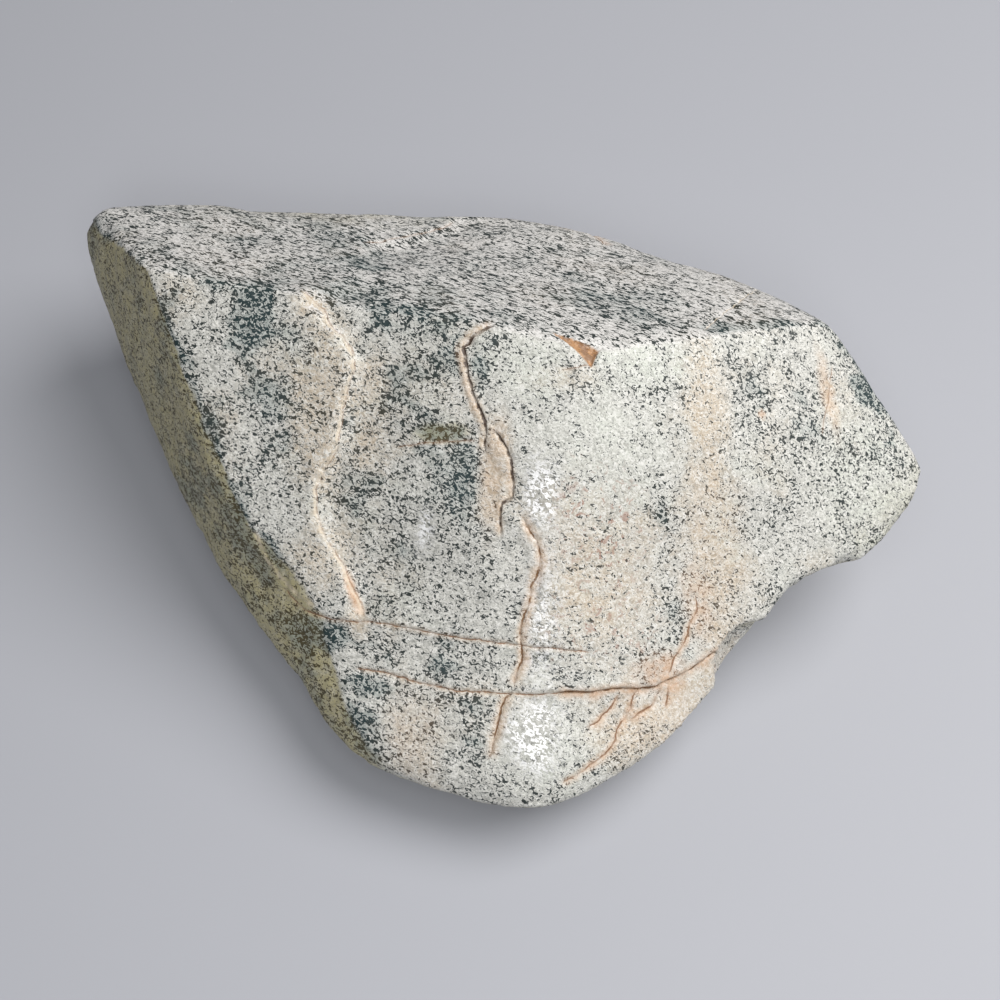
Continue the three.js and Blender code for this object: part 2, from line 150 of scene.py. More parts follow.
# Every crack: its kind, its side and the places its line goes through.
CRACKS = {
    "left_ledge": ("cream_vein", "upper", [
        (-29.5, 18.0), (-27.8, 16.0), (-25.9, 14.5), (-24.4, 11.7), (-22.7, 9.8), (-21.4, 8.4),
        (-20.7, 6.8), (-20.8, 5.4), (-21.3, 4.3), (-22.0, 2.6), (-22.6, 0.4), (-23.0, -1.5),
        (-23.6, -4.7), (-25.8, -7.2), (-27.1, -9.5), (-27.1, -12.6), (-26.2, -14.9),
        (-24.6, -17.4), (-22.7, -19.8), (-21.4, -23.1), (-20.0, -24.8), (-19.5, -27.3)]),
    "right_ledge": ("dark_crack", "upper", [
        (1.5, 9.0), (-0.1, 8.2), (-2.0, 7.2), (-3.4, 6.1), (-3.0, 3.7), (-2.6, 1.6), (-2.0, -0.3),
        (-1.1, -2.3), (-0.1, -4.3), (0.0, -5.5), (-0.1, -6.6), (0.0, -8.2)]),
    "right_strand": ("dark_crack", "upper", [
        (0.6, -5.4), (1.7, -6.5), (2.9, -8.2), (3.7, -10.1), (3.8, -12.3), (3.7, -14.3),
        (2.6, -14.8), (2.2, -16.6), (2.4, -19.0)]),
    "foot_run": ("stained_crack", "upper", [
        (5.2, -16.4), (5.7, -17.8), (6.7, -19.1), (7.5, -20.1), (8.0, -21.5), (8.0, -23.0),
        (7.5, -24.3), (6.9, -25.3), (6.6, -27.3), (5.8, -29.0), (5.2, -30.6), (5.1, -32.3),
        (5.4, -33.8), (5.2, -35.1), (4.5, -36.1), (4.3, -37.3), (4.2, -38.6)]),
    "foot_run_end": ("stained_crack", "upper", [
        (4.2, -38.3), (3.5, -39.1), (2.8, -39.6), (2.2, -40.9), (1.7, -42.6), (1.1, -44.5),
        (0.8, -46.0), (0.1, -47.6)]),
    "upper_cross": ("fine_crack", "upper", [
        (-33.5, -20.6), (-29.5, -24.6), (-28.0, -25.5), (-23.9, -27.0), (-19.3, -27.6),
        (-14.7, -28.7), (-9.7, -30.0), (-3.6, -31.5), (3.7, -32.8), (7.5, -33.3), (12.5, -33.4),
        (16.4, -33.4)]),
    "lower_cross": ("fine_crack", "upper", [
        (-21.0, -33.4), (-14.8, -35.1), (-10.0, -36.7), (-5.1, -38.0), (-0.9, -38.6),
        (3.7, -39.0), (7.6, -39.1), (12.5, -38.7), (14.5, -38.6)]),
    "lip_cross": ("lip_crack", "upper", [
        (10.5, -38.9), (12.5, -38.7), (16.1, -38.6), (19.8, -37.8), (23.8, -37.4),
        (26.6, -36.8), (28.6, -35.8), (30.4, -35.0), (32.2, -34.1), (33.9, -32.9), (35.8, -31.6),
        (37.4, -30.6)]),
    "lip_branch_left": ("rust_crack", "upper", [
        (20.9, -37.8), (20.1, -38.9), (19.1, -40.1), (18.0, -41.1), (17.1, -42.0), (15.2, -43.0)]),
    "lip_branch_main": ("rust_crack", "upper", [
        (23.9, -37.3), (22.9, -38.3), (22.5, -39.7), (21.5, -41.2), (20.4, -42.5), (20.1, -44.3),
        (19.0, -45.9), (17.2, -47.3), (14.9, -48.8), (12.7, -50.2), (11.3, -50.9)]),
    "lip_branch_right": ("rust_crack", "upper", [
        (27.3, -36.9), (26.1, -38.8), (23.9, -40.2), (21.9, -41.8)]),
    "lip_branch_end": ("rust_crack", "upper", [
        (28.6, -36.2), (28.4, -38.2), (27.6, -39.6)]),
    "shoulder_run": ("rust_crack", "upper", [
        (28.2, -35.6), (29.3, -33.0), (31.1, -30.5), (31.9, -28.2), (33.0, -26.1), (32.8, -23.8)]),
    "wall_rim": ("pale_rim", "upper", [
        (-37.4, -13.2), (-35.6, -17.0), (-33.0, -20.0), (-30.0, -23.0), (-27.0, -25.0)]),
    "chip_hair": ("hair_crack", "upper", [(10.8, 1.6), (13.2, 1.7), (15.0, 2.1), (17.0, 2.0)]),
    "panel_hair": ("hair_crack", "upper", [(-14.5, -5.6), (-9.5, -5.8), (-5.0, -5.9), (-1.0, -6.1)]),
    "top_hair": ("pale_hair", "upper", [(45.5, 29.0), (40.8, 21.0), (37.2, 16.2), (33.6, 11.0)]),
    "top_fold": ("hair_crack", "upper", [
        (-21.4, 37.8), (-18.0, 38.5), (-14.0, 41.1), (-11.4, 43.0), (-8.8, 44.9), (-6.8, 46.5),
        (-6.1, 48.5)]),
    "tip_hair": ("hair_crack", "upper", [
        (55.3, 10.2), (54.6, 6.8), (54.4, 4.4), (53.5, 1.4), (53.2, -1.2)]),
    "back_run": ("stained_crack", "back", [
        (21.0, 33.0), (18.5, 28.5), (19.5, 24.0), (16.5, 19.5), (15.5, 15.0), (12.0, 11.5)]),
    "back_cross": ("fine_crack", "back", [
        (-46.0, 21.5), (-38.0, 18.5), (-29.0, 17.5), (-19.0, 15.5), (-10.0, 13.5), (-2.0, 10.0),
        (8.0, 10.5)]),
    "right_cross": ("rust_crack", "right", [
        (24.0, 30.0), (18.0, 28.0), (12.5, 28.5), (6.5, 25.5), (0.5, 24.5)]),
}

# The patches on each side: middle, two half widths, the turn of the first
# from the side's across direction in degrees, and how much of each stain.
# Amounts add up where patches overlap, and a negative one takes away.
PATCHES = {
    "upper": [
        # Ground with more flecks, and the dark bands and clusters on it.
        ((-35, -5), (21, 34), -8, {"flecks": 0.38}),
        ((-9, -8), (12, 22), 0, {"flecks": 0.3}),
        ((-10, 4), (9, 8), -8, {"flecks": 0.4}),
        ((-10, -37), (15, 12), -10, {"flecks": 0.15}),
        ((-37.1, 14.8), (4.2, 4), -9, {"flecks": 1.0}),
        ((-41.1, 18.6), (8, 2.2), -19, {"flecks": 0.5}),
        ((-52, 16), (2.2, 5), -15, {"flecks": 0.5}),
        ((-36.3, 9.2), (5, 5.8), -8, {"flecks": 0.4}),
        ((-33.3, -3.7), (3.5, 2.2), -7, {"flecks": 0.35}),
        ((-35.2, -10.6), (5, 2), -6, {"flecks": 0.3}),
        ((-43.3, -1.2), (2, 7.5), 22, {"flecks": 0.3}),
        ((-11.6, 10.6), (9, 2.6), -13, {"flecks": 1.0}),
        ((-3.4, -11.7), (2.4, 4.4), -4, {"flecks": 1.0}),
        ((0, -18), (1.8, 3.6), -5, {"flecks": 0.5}),
        ((-15.4, -10.6), (3.6, 2.4), -11, {"flecks": 0.3}),
        ((-0.2, 3.7), (1.6, 3.2), -6, {"flecks": 0.5, "mint": 0.7}),
        ((28.3, -15.1), (2.8, 2.8), 8, {"flecks": 0.55}),
        ((28.5, -24.2), (2.4, 5.4), 6, {"flecks": 0.5}),
        ((46.5, 2.5), (6.5, 11), 12, {"flecks": 0.4}),
        ((59.5, 9.5), (2.6, 11), 40, {"flecks": 1.2}),
        ((44.5, 13.5), (12, 1.8), 6, {"flecks": 0.6}),
        ((-21.5, -29.2), (8, 2.2), -11, {"flecks": 1.0}),
        ((-4.2, -34), (5.4, 2.6), -5, {"flecks": 0.8}),
        ((-9, -38.6), (8, 1.7), -10, {"flecks": 0.8}),
        ((-19.7, -41.1), (2.8, 7), 10, {"flecks": 0.8}),
        ((-2.3, -43.7), (2.8, 5.8), -4, {"flecks": 0.75}),
        ((5, -51), (8, 2), 0, {"flecks": 0.5}),
        ((-21.1, 29.4), (5.6, 6), -14, {"flecks": 0.35}),
        ((21.2, 19.4), (10, 5.5), -16, {"flecks": 0.3}),
        ((24.5, -43.8), (3.2, 1.8), 30, {"flecks": 0.9}),
        ((36, 27), (20, 9), -30, {"flecks": -0.35}),
        # Cream stone.
        ((-26.2, 2.4), (4.8, 11), -9, {"cream": 1.2, "flecks": -0.2}),
        ((-27.8, 16), (3.1, 2), 1, {"cream": 0.9, "flecks": -0.3}),
        ((-26.3, -18.8), (5.7, 4), -7, {"cream": 0.8, "flecks": -0.35}),
        ((-18.7, 0.1), (2.4, 8), -10, {"cream": 0.6, "flecks": -0.3}),
        ((-11.9, 2.3), (8.4, 4.8), -7, {"cream": 0.4}),
        ((-11.3, -43.4), (4.8, 5.8), -4, {"cream": 0.6, "rust": 0.1, "flecks": -0.6}),
        ((11.1, 0.5), (5.4, 1.5), -3, {"cream": 0.6, "flecks": -0.4}),
        ((33.8, 0.2), (3.2, 10), 9, {"cream": 1.1, "flecks": -0.25}),
        ((35.6, -19.6), (5, 11), 7, {"cream": 0.95, "rust": 0.08, "flecks": -0.35}),
        ((17.4, -24.2), (9, 10), 7, {"cream": 0.8, "flecks": -0.7}),
        ((24, -42), (8, 5), 10, {"cream": 0.9, "rust": 0.08, "flecks": -0.6}),
        ((32.5, -37), (5.4, 2.4), 45, {"cream": 1.4, "gloss": 0.25, "bare": 1.0}),
        ((-42, 27.4), (11, 6), -18, {"cream": 0.5, "flecks": -0.2}),
        # Pale green stone.
        ((6.5, 2.4), (5.6, 4.4), -4, {"mint": 0.8, "flecks": -0.3}),
        ((23.7, 3.9), (7.6, 3.9), 10, {"mint": 1.0, "flecks": -0.3}),
        ((19, -8), (10, 7), 0, {"mint": 0.5, "flecks": -0.8}),
        ((61.3, -5.4), (9, 10.6), 10, {"mint": 0.7, "flecks": 0.15}),
        ((9.7, -46.3), (8.4, 6.4), 0, {"mint": 0.6, "flecks": -0.2}),
        # Stains, most of them by the cracks and ledges.
        ((-7.1, -4.6), (3.9, 1.1), -4, {"film": 1.2, "flecks": 0.9}),
        ((1.2, -10.6), (2.1, 6.6), -4, {"cream": 1, "rust": 0.2, "bare": 0.9}),
        ((-20.4, -27.6), (1.6, 2.6), 20, {"cream": 1, "bare": 0.8}),
        ((-21.3, -23), (0.7, 3.2), 22, {"rust": 0.65, "bare": 0.6}),
        ((33, -25), (2.4, 5), 6, {"rust": 0.25}),
        ((27.5, -35), (3.4, 2.6), 6, {"rust": 0.6}),
        ((54.3, 5.2), (1.1, 5.6), 13, {"rust": 0.3, "cream": 0.6, "flecks": -0.5}),
        ((43, 0), (0.7, 0.5), 0, {"rust": 0.6}),
        # Red-brown specks, and polished or sugary spots that glint, with white painted on them as
        # painted highlights for the glints.
        ((17.3, -17), (8, 6), 7, {"specks": 1.2}),
        ((17, -30), (9, 6), 7, {"specks": 0.9}),
        ((8.2, -14.2), (2.6, 4), 0, {"gloss": 1.2}),
        ((7.2, -44.5), (4.2, 4.6), 0, {"gloss": 1.3, "bare": 0.5}),
        ((8.5, -29), (2.6, 8), 0, {"gloss": 0.65}),
        ((-9.6, -16.8), (1.3, 2.7), -9, {"gloss": 0.9}),
    ],
    "back": [
        ((-30, 24), (26, 8), -4, {"film": 0.6, "flecks": 0.2}),
        ((18, 20), (6, 14), 12, {"cream": 1.0, "flecks": -0.5}),
        ((44, 24), (12, 10), 20, {"mint": 0.8, "flecks": 0.2}),
    ],
    "right": [
        ((16, 24), (7, 9), 0, {"cream": 0.9, "flecks": -0.4}),
        ((-4, 22), (9, 6), 10, {"film": 0.5, "flecks": 0.3}),
    ],
}

# What every point of the surface has an amount of. Bare is stone without
# flecks, top is the top face, and gloss is where white grains are painted
# in as highlights for the glints.
STAINS = ("flecks", "bare", "cream", "mint", "rust", "film", "gloss", "specks", "top")

# The chip by the ridge: a three-sided pit, shallow along its last side
# and deeper away from it. Its corners, how wide its walls are, its depth
# along that side as a share of the whole, and how far off it is whole.
CHIP_CORNERS = [(9.5, 8.4), (17.6, 5.0), (15.9, 1.5)]
CHIP_WALL = 0.45
CHIP_SHALLOW = 0.35
CHIP_RUN = 2.6

# The small pits: how many, their radii, how deep they are as shares of
# the deepest, how much of each is floor, and the seed of their places.
PIT_COUNT = 900
PIT_RADII = (0.5, 1.5)
PIT_STRENGTHS = (0.3, 1.0)
PIT_FLOOR = 0.2
PIT_SEED = 5

# How long the bumps are: the slow ones, the fine ones and those of the
# weathered sides, each with how many sizes of noise they are made of.
SWELL_BUMPS = (7.0, 3)
GRAIN_BUMPS = (1.7, 2)
WEATHERED_BUMPS = (2.6, 3)

# How much lower and how much finer each further size of a noise is.
FRACTAL = (1.0, 2.0)

# The surface is left alone on the floor, and fully worked this high up.
FLOOR_FADE = 1.5

# Points of the solid that lie this close are one. Its faces are divided
# this often to round its worn edges. Then faces within these distances of
# a crack are halved, one after another.
WELD = 0.001
ROUNDING_STEPS = 2
FINE_REACHES = (1.3, 0.6)

# The ragged edges of the stains: how ragged, and the size of the noise.
# A patch fades in between the first two shares of its half widths, and a
# crack's halo between the next two shares of its reach.
RAGGED = 0.35
RAGGED_BUMPS = (3.0, 2)
PATCH_FADE = (1.6, 0.2)
HALO_FADE = (1.4, 0.1)

# The left wall: the way it faces, and how far out along it the wall
# starts. It and the dark band along its edge fade in as the surface turns
# to face that way, with an edge that is a little ragged, and each has its
# own amount of flecks.
WALL_FACES = (-0.91, -0.415, 0)
WALL_START = (33, 37)
WALL_TURN = (0.55, 0.62)
WALL_EDGE_TURN = (0.47, 0.54)
WALL_RAGGED = 0.06
WALL_FLECKS = 0.35
WALL_EDGE_FLECKS = 0.8

# How the olive film fades in where the surface turns to face downwards,
# how much of it there is there, and how the top face fades in.
HIDDEN_TURN = (0.2, -0.3)
HIDDEN_FILM = 0.6
TOP_TURN = (-0.12, 0.12)

# ------------------------------------------------------------ settings


def length(name, description, default):
    return bpy.props.FloatProperty(
        name=name, description=description, default=default, min=0, subtype="DISTANCE", unit="LENGTH"
    )


def share(name, description, default):
    return bpy.props.FloatProperty(
        name=name, description=description, default=default, min=0, max=1, subtype="FACTOR"
    )


def colour(name, description, default):
    return bpy.props.FloatVectorProperty(
        name=name, description=description, default=default, min=0, max=1, size=3, subtype="COLOR"
    )


def power(name, description, default):
    return bpy.props.FloatProperty(
        name=name, description=description, default=default, min=0, unit="POWER"
    )


class JadeiteSurface(bpy.types.PropertyGroup):
    """Sizes of the stone's worn and broken surface."""

    mesh_size: length("Mesh Size", "Side of the mesh faces on plain stone", 0.75 * MM)
    crease_turn: bpy.props.FloatProperty(
        name="Edge Turn", description="Edges that turn more than this stay sharp",
        default=math.radians(9), subtype="ANGLE", unit="ROTATION",
    )
    swell: length("Swell", "Height of the slow bumps", 0.22 * MM)
    grain: length("Grain", "Height of the fine bumps", 0.1 * MM)
    weathering: length("Weathering", "Height of the rough bumps of the weathered sides", 0.45 * MM)
    pit_depth: length("Pit Depth", "Depth of the small pits", 0.22 * MM)
    chip_depth: length("Chip Depth", "Depth of the chip by the ridge", 1.2 * MM)


class JadeiteColours(bpy.types.PropertyGroup):
    """Colours and gloss of the stone."""

    grey: colour("Grey Ground", "Plain stone", tint(206, 205, 198))
    # Partly painted light: lighter than the plain stone for the brighter light that falls on the top
    # face.
    top_ground_and_light: colour("Top Ground", "Plain stone of the top face", tint(232, 229, 227))
    cream: colour("Cream Ground", "Warm stone", tint(208, 196, 178))
    mint: colour("Mint Ground", "Pale green stone", tint(210, 214, 203))
    fleck: colour("Flecks", "Dark green-black flecks", tint(43, 51, 49))
    fleck_crowd: colour("Crowded Flecks", "Flecks where they are crowded", tint(34, 54, 56))
    fleck_warm: colour("Warm Flecks", "Flecks in the cream stone", tint(86, 79, 64))
    fleck_film: colour("Olive Flecks", "Flecks under the olive film", tint(84, 74, 44))
    rust: colour("Rust", "Stain round the cracks", tint(210, 164, 124))
    film: colour("Film", "Olive film of the weathered sides", tint(178, 169, 124))
    grain: colour("Pale Grains", "Near-white grains in the ground", tint(238, 237, 232))
    dull: colour("Dull Grains", "Dull grains in the plain stone", tint(156, 156, 150))
    dull_cream: colour("Warm Dull Grains", "Dull grains in the warm stone", tint(166, 150, 127))
    teal: colour("Blue-green Haze", "Ground where the flecks are crowded", tint(118, 138, 136))
    speck: colour("Red-brown Specks", "Small specks in the pale stone", tint(168, 134, 118))
    # Partly painted shadow: the dark core stands in for the shade in the deep cracks' grooves.
    core_dark: colour("Dark Core", "Bottom of the deep cracks", tint(70, 52, 38))
    core_umber: colour("Umber Core", "Bottom of the deep stained cracks", tint(118, 84, 50))
    core_brown: colour("Brown Core", "Bottom of the thin cracks", tint(142, 106, 78))
    # Partly painted highlight: on the left ledge this cream paints the lit edge of the step.
    core_vein: colour("Vein", "Cream veins", tint(222, 208, 186))
    chip_floor: colour("Chip", "Stained floor of the chip by the ridge", tint(186, 138, 90))
    chip_deep: colour("Deep Chip", "Darker stain in the chip's floor", tint(140, 98, 60))
    # Partly painted highlight: near-white grains that stand in for the glints of light on the polished
    # spots.
    sugar_and_glint: colour("Sugary Grains", "White grains where the stone glints", tint(250, 250, 250))
    fleck_size: length("Fleck Size", "Typical length of a fleck", 1.05 * MM)
    gloss: share("Gloss", "How polished the high spots are", 0.6)


class JadeiteStage(bpy.types.PropertyGroup):
    """The floor, the light and the camera."""

    floor: colour("Floor", "Colour of the plain floor", tint(176, 178, 185))
    floor_size: length("Floor Size", "Side of the floor", 6.0)
    key_power: power("Key Light", "Power of the large light on the right", 5.3)
    fill_power: power("Fill Light", "Power of the light in front of the stone", 1.3)
    glint_power: power("Glint Lights", "Power of each small light in front of the stone", 0.45)
    room: share("Room Light", "Strength of the even light all round", 0.1)
    lens: bpy.props.FloatProperty(
        name="Lens", description="Focal length of the camera", default=60, unit="CAMERA"
    )


# ------------------------------------------------------------- surface


def smooth_step(low, high, value):
    """Eases from 0 to 1 as a value goes from low to high."""
    t = np.clip((value - low) / (high - low), 0, 1)
    return t * t * (3 - 2 * t)


def bumps(points, size, octaves=1):
    """Smooth noise, about -1 to 1, at points in millimetres."""
    if octaves == 1:
        return np.array([noise.noise(Vector(p)) for p in points / size])
    return np.array([noise.fractal(Vector(p), *FRACTAL, octaves) for p in points / size])


def hollows(points, kind):
    """The same noise as shares of a depth, about 0 to 1."""
    return bumps(points, *kind) * 0.5 + 0.5


def drawn_on(side, points, normals):
    """Each point's two drawn places on a side, and how much it faces it."""
    axes = SIDES[side]
    places = np.column_stack([points @ axes["across"], points @ axes["up"]])
    return places, smooth_step(*FACING_STARTS, normals @ axes["faces"])


class CrackField:
    """Where every point lies by one crack, in millimetres.

    distance is how far it is from the line as drawn, and flat the same
    with a sign, more than 0 on the left of the line. signed is flat as it
    measures along the stone's surface, with the line's wander. from_end
    is how far along the line its nearer end is. strength is how much of
    the crack there is, from 0 to 1.
    """

    def __init__(self, crack, points, normals):
        self.kind = CRACK_KINDS[crack[0]]
        side, line = crack[1:]
        axes = SIDES[side]
        places, facing = drawn_on(side, points, normals)
        wander = WANDER * bumps(points, WANDER_LENGTH)
        self.flat = np.zeros(len(points))
        self.distance = np.full(len(points), np.inf)
        signed = np.zeros(len(points))
        along = np.zeros(len(points))
        walked = 0.0
        for start, end in zip(line, line[1:]):
            step = np.subtract(end, start)
            size = np.hypot(*step)
            left = np.array([-step[1], step[0]]) / size
            t = np.clip((places - start) @ step / size**2, 0, 1)
            gap = places - start - t[:, None] * step
            reach = np.hypot(*gap.T)
            slant = normals @ (left[0] * np.array(axes["across"]) + left[1] * np.array(axes["up"]))
            stretch = np.hypot(1, slant / np.maximum(normals @ axes["faces"], LEAST_FACING))
            nearer = reach < self.distance
            self.distance[nearer] = reach[nearer]
            side_of = np.where(gap @ left > 0, 1, -1)
            self.flat[nearer] = (side_of * reach)[nearer]
            signed[nearer] = (side_of * reach * stretch)[nearer]
            along[nearer] = (walked + t * size)[nearer]
            walked += size
        self.signed = signed + wander
        self.from_end = np.minimum(along, walked - along)
        self.strength = facing * smooth_step(0, CRACK_END, self.from_end)
        self.strength *= smooth_step(*CRACK_REACH, self.distance)


def ledge_fill(points, normals):
    """How far the low side of the low ledge is raised, in millimetres."""
    field = CrackField(("hair_crack", "upper", LOW_LEDGE), points, normals)
    low_side = smooth_step(-LEDGE_WALL / 2, LEDGE_WALL / 2, field.flat)
    low_side *= smooth_step(LEDGE_REACH, LEDGE_REACH / 4, field.flat)
    return LEDGE_FILL * low_side * smooth_step(0, LEDGE_END, field.from_end)


def add_float(mesh, name, values):
    mesh.attributes.new(name, "FLOAT", "POINT").data.foreach_set("value", values.astype(np.float32))


def add_vector(mesh, name, rows):
    mesh.attributes.new(name, "FLOAT_VECTOR", "POINT").data.foreach_set(
        "vector", np.ascontiguousarray(rows, np.float32).ravel()
    )


def points_and_normals(mesh):
    """The mesh's points in millimetres and its normals, as rows."""
    count = len(mesh.vertices)
    points = np.empty(count * 3)
    normals = np.empty(count * 3)
    mesh.vertices.foreach_get("co", points)
    mesh.vertices.foreach_get("normal", normals)
    return points.reshape(-1, 3) / MM, normals.reshape(-1, 3)


def evaluated(obj):
    """The object's mesh with its modifiers applied, as a new mesh."""
    bpy.context.view_layer.update()
    graph = bpy.context.evaluated_depsgraph_get()
    return bpy.data.meshes.new_from_object(obj.evaluated_get(graph))


def welded_copy(node, crease_turn):
    """The solid's mesh with shared points, and its sharp edges creased."""
    bm = bmesh.new()
    bm.from_mesh(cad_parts[node].data)
    bmesh.ops.remove_doubles(bm, verts=bm.verts, dist=WELD * MM)
    crease = bm.edges.layers.float.new("crease_edge")
    for edge in bm.edges:
        turn = edge.calc_face_angle(0)
        edge[crease] = float(smooth_step(crease_turn, 2 * crease_turn, turn))
    mesh = bpy.data.meshes.new("stone_block")
    bm.to_mesh(mesh)
    bm.free()
    return mesh


def halve_near_cracks(mesh, reach):
    """Halves the edges of the faces within reach of a crack."""
    points, normals = points_and_normals(mesh)
    near = np.zeros(len(points), bool)
    for crack in CRACKS.values():
        field = CrackField(crack, points, normals)
        near |= (np.abs(field.signed) < reach) & (field.strength > 0)
    bm = bmesh.new()
    bm.from_mesh(mesh)
    bmesh.ops.triangulate(bm, faces=bm.faces)
    bm.verts.ensure_lookup_table()
    edges = [e for e in bm.edges if near[e.verts[0].index] and near[e.verts[1].index]]
    bmesh.ops.subdivide_edges(bm, edges=edges, cuts=1)
    bmesh.ops.triangulate(bm, faces=bm.faces)
    bm.to_mesh(mesh)
    bm.free()


def fine_mesh(surface):
    """The stone's surface as a fine and even mesh."""
    obj = bpy.data.objects.new("stone_block", welded_copy(STONE_NODE, surface.crease_turn))
    bpy.context.scene.collection.objects.link(obj)
    rounding = obj.modifiers.new("rounding", "SUBSURF")
    rounding.levels = rounding.render_levels = ROUNDING_STEPS
    even = obj.modifiers.new("even", "REMESH")
    even.mode = "VOXEL"
    even.voxel_size = surface.mesh_size
    even.use_smooth_shade = True
    mesh = evaluated(obj)
    bpy.data.objects.remove(obj)
    for reach in FINE_REACHES:
        halve_near_cracks(mesh, reach)
    return mesh


def small_pits(points):
    """How deep the small pits are at each point, from 0 to 1."""
    rng = np.random.default_rng(PIT_SEED)
    depth = np.zeros(len(points))
    for centre in points[rng.integers(0, len(points), PIT_COUNT)]:
        radius = rng.uniform(*PIT_RADII)
        strength = rng.uniform(*PIT_STRENGTHS)
        box = np.abs(points - centre).max(1) < radius
        out = np.linalg.norm(points[box] - centre, axis=1) / radius
        depth[box] = np.maximum(depth[box], strength * smooth_step(1, PIT_FLOOR, out))
    return depth


def ridge_chip(points, normals):
    """How deep the three-sided chip is at each point, from 0 to 1, and how
    far in from its rim the point lies, in millimetres."""
    places, facing = drawn_on("upper", points, normals)
    corners = np.array(CHIP_CORNERS)
    gaps = []
    for start, end in zip(corners, np.roll(corners, -1, axis=0)):
        step = end - start
        inward = np.array([step[1], -step[0]]) / np.hypot(*step)
        gaps.append((places - start) @ inward)
    inside = np.minimum.reduce(gaps)
    slope = np.clip(gaps[-1] / CHIP_RUN, 0, 1)
    depth = CHIP_SHALLOW + (1 - CHIP_SHALLOW) * slope
    return facing * smooth_step(0, CHIP_WALL, inside) * depth, facing * inside


def stains_at(points, normals, cracks):
    """Every stain's amount at each point."""
    amounts = {stain: np.zeros(len(points)) for stain in STAINS}
    ragged = RAGGED * bumps(points, *RAGGED_BUMPS)
    for side, patches in PATCHES.items():
        places, facing = drawn_on(side, points, normals)
        for middle, half_widths, turn, stains in patches:
            angle = math.radians(turn)
            along = np.array([math.cos(angle), math.sin(angle)])
            across = np.array([-along[1], along[0]])
            gap = places - middle
            reach = np.hypot(gap @ along / half_widths[0], gap @ across / half_widths[1])
            weight = facing * smooth_step(*PATCH_FADE, reach + ragged)
            for stain, amount in stains.items():
                amounts[stain] += amount * weight
    for field in cracks.values():
        kind = field.kind
        reach = np.abs(field.signed - kind["aside"]) / kind["halo"]
        weight = field.strength * smooth_step(*HALO_FADE, reach + ragged)
        for stain, amount in kind["stains"].items():
            amounts[stain] = np.maximum(amounts[stain], amount * weight)
    wall_turn = normals @ WALL_FACES + WALL_RAGGED * ragged
    near_wall = smooth_step(*WALL_START, points @ WALL_FACES)
    wall = near_wall * smooth_step(*WALL_TURN, wall_turn)
    wall_edge = near_wall * smooth_step(*WALL_EDGE_TURN, wall_turn) * (1 - wall)
    hidden = smooth_step(*HIDDEN_TURN, normals[:, 2])
    amounts["film"] = np.maximum(amounts["film"], np.maximum(wall, HIDDEN_FILM * hidden))
    amounts["flecks"] += WALL_FLECKS * wall + WALL_EDGE_FLECKS * wall_edge
    amounts["top"] = smooth_step(*TOP_TURN, normals[:, 1])
    return amounts


def dress_mesh(mesh, surface):
    """Moves the fine mesh's points to the stone's surface and notes the
    cracks and stains on it."""
    points, normals = points_and_normals(mesh)
    cracks = {name: CrackField(crack, points, normals) for name, crack in CRACKS.items()}
    sink = -ledge_fill(points, normals)
    for field in cracks.values():
        kind = field.kind
        sink += field.strength * kind["depth"] * np.exp(-((field.signed / kind["spread"]) ** 2))
        across = field.signed / STEP_REACH
        sink += field.strength * kind["step"] * across * np.exp((1 - across**2) / 2)
    chip, chip_inside = ridge_chip(points, normals)
    sink += chip * surface.chip_depth / MM
    sink += small_pits(points) * surface.pit_depth / MM
    sink += surface.swell / MM * hollows(points, SWELL_BUMPS)
    sink += surface.grain / MM * hollows(points, GRAIN_BUMPS)
    stains = stains_at(points, normals, cracks)
    weathered = np.clip(stains["film"], 0, 1)
    sink += surface.weathering / MM * weathered * hollows(points, WEATHERED_BUMPS)
    lifted = smooth_step(0, FLOOR_FADE, points[:, 2])
    points -= normals * (sink * lifted)[:, None]
    low, high = (np.array(corner) / MM for corner in CAD_BOX)
    points = np.clip(points, low, high)
    mesh.vertices.foreach_set("co", (points * MM).ravel())
    for name, field in cracks.items():
        add_vector(mesh, name, np.column_stack([field.signed, field.strength, np.zeros(len(points))]))
    for stain, amount in stains.items():
        add_float(mesh, stain, amount)
    add_float(mesh, "chip", chip_inside)
    mesh.update()


# ------------------------------------------------------------ material

# How the stone's bedding is turned, and how far what is drawn along it
# is stretched along and across it: for short grains and for long ones.
BEDDING_TURN = (0, math.radians(-8), math.radians(-32))
SHORT = (1.4, 1)
LONG = (2.6, 1.1)

# The noises that the stone's patterns are made of: each one's size, its
# detail, its roughness and its distortion.
CREAM_DRIFT_NOISE = (12 * MM, 3, 0.5, 0)
MINT_DRIFT_NOISE = (9 * MM, 3, 0.5, 0)
UNEVEN_NOISE = (2.2 * MM, 3, 0.6, 0)
GRAIN_NOISE = (0.62 * MM, 2, 0.6, 1.6)
CLUSTER_NOISE = (6 * MM, 3, 0.6, 0)
PATCHY_NOISE = (1.6 * MM, 3, 0.65, 0)
SPECK_NOISE = (1.3 * MM, 2, 0.5, 1)
SUGAR_GLINT_NOISE = (0.7 * MM, 3, 0.6, 1.2)
PORE_NOISE = (0.8 * MM, 3, 0.6, 0)
FINE_PORE_NOISE = (0.3 * MM, 2, 0.5, 0)
CORE_NOISE = (1.1 * MM, 3, 0.65, 0)
CORE_BREAK_NOISE = (2.2 * MM, 3, 0.5, 0)

# The noises of the flecks. Their sizes are shares of a fleck's length.
FLECK_BODY_NOISE = (0.5, 2, 0.55, 1.2)
FLECK_BEND_NOISE = (0.85, 1, 0.5, 0.8)
SMALL_FLECK_NOISE = (0.35, 2, 0.6, 0.8)

